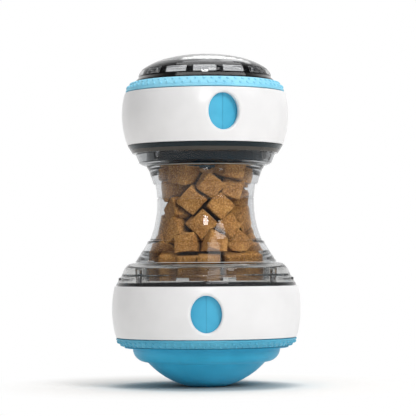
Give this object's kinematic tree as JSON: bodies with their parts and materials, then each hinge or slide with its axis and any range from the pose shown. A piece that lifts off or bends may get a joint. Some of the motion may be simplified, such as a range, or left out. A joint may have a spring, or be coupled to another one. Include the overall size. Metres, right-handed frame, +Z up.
{
  "type": "tumbling treat dispenser",
  "caption": "Hourglass pet treat dispenser: clear tube of treats between two ported heads with turning shutter rings, on a weighted round base.",
  "frame": {"origin": "centre of the small flat foot under the round base, on the surface the dispenser stands on", "axes": "+Z up along the common axis of the heads and the tube; -Y is the front with the ports seen in the picture; +X to the right"},
  "size_m": [0.098, 0.0975, 0.1725],
  "materials": {
    "base_blue": "satin moulded blue plastic",
    "steel": "zinc-plated cast and turned steel",
    "inner_white": "fine matt",
    "screw_steel": "plated pan-head screws",
    "grip_blue_lower": "soft dotted grip",
    "grip_blue_upper": "soft dotted grip",
    "shutter_blue": "satin",
    "band_white": "satin white",
    "cage_smoke": "translucent smoky plastic with a teal cast",
    "collar_smoke": "polished smoky clear plastic",
    "seal_silicone": "translucent silicone",
    "tube_clear": "polished clear plastic",
    "treat": "baked dry kibble",
    "dome_smoke": "polished smoky clear plastic",
    "lens_clear": "polished light smoky plastic"
  },
  "bodies": {
    "lower_head": {"base_shell": "base_blue", "counterweight": "steel", "treat_cone": "inner_white", "base_screws": "screw_steel", "lower_band": "band_white", "lower_cage": "cage_smoke", "lower_collar": "collar_smoke", "lower_collar_screws": "screw_steel", "head_treats": "treat"},
    "lower_dial": {"lower_grip_ring": "grip_blue_lower", "lower_shutter": "shutter_blue"},
    "lower_seal": {"lower_neck_seal": "seal_silicone"},
    "tube": {"tube": "tube_clear", "tube_treats": "treat"},
    "upper_seal": {"upper_neck_seal": "seal_silicone"},
    "upper_head": {"upper_collar": "collar_smoke", "upper_collar_screws": "screw_steel", "upper_cage": "cage_smoke", "upper_band": "band_white", "dome_frame": "dome_smoke", "dome_lens": "lens_clear", "dome_screws": "screw_steel"},
    "upper_dial": {"upper_grip_ring": "grip_blue_upper", "upper_shutter": "shutter_blue"}
  },
  "joints": [
    {"name": "lower_dial_turn", "type": "hinge", "parent": "lower_head", "child": "lower_dial", "pos_m": [0, 0, 0.0386], "axis": [0, 0, 1], "range_deg": [0, 60]},
    {"name": "tube_lift", "type": "slide", "parent": "lower_head", "child": "lower_seal", "axis": [0, 0, 1], "range_m": [0, 0.00334]},
    {"name": "tube_unscrew", "type": "hinge", "parent": "lower_seal", "child": "tube", "pos_m": [0, 0, 0.0642], "axis": [0, 0, 1], "range_deg": [0, 100]},
    {"name": "upper_head_lift", "type": "slide", "parent": "tube", "child": "upper_seal", "axis": [0, 0, 1], "range_m": [0, 0.00334]},
    {"name": "upper_head_unscrew", "type": "hinge", "parent": "upper_seal", "child": "upper_head", "pos_m": [0, 0, 0.1139], "axis": [0, 0, 1], "range_deg": [0, 100]},
    {"name": "upper_dial_turn", "type": "hinge", "parent": "upper_head", "child": "upper_dial", "pos_m": [0, 0, 0.1386], "axis": [0, 0, 1], "range_deg": [0, 60]}
  ],
  "couplings": [
    {"joint": "tube_lift", "follows": "tube_unscrew", "m_per_rad": 0.0019099},
    {"joint": "upper_head_lift", "follows": "upper_head_unscrew", "m_per_rad": 0.0019099}
  ]
}
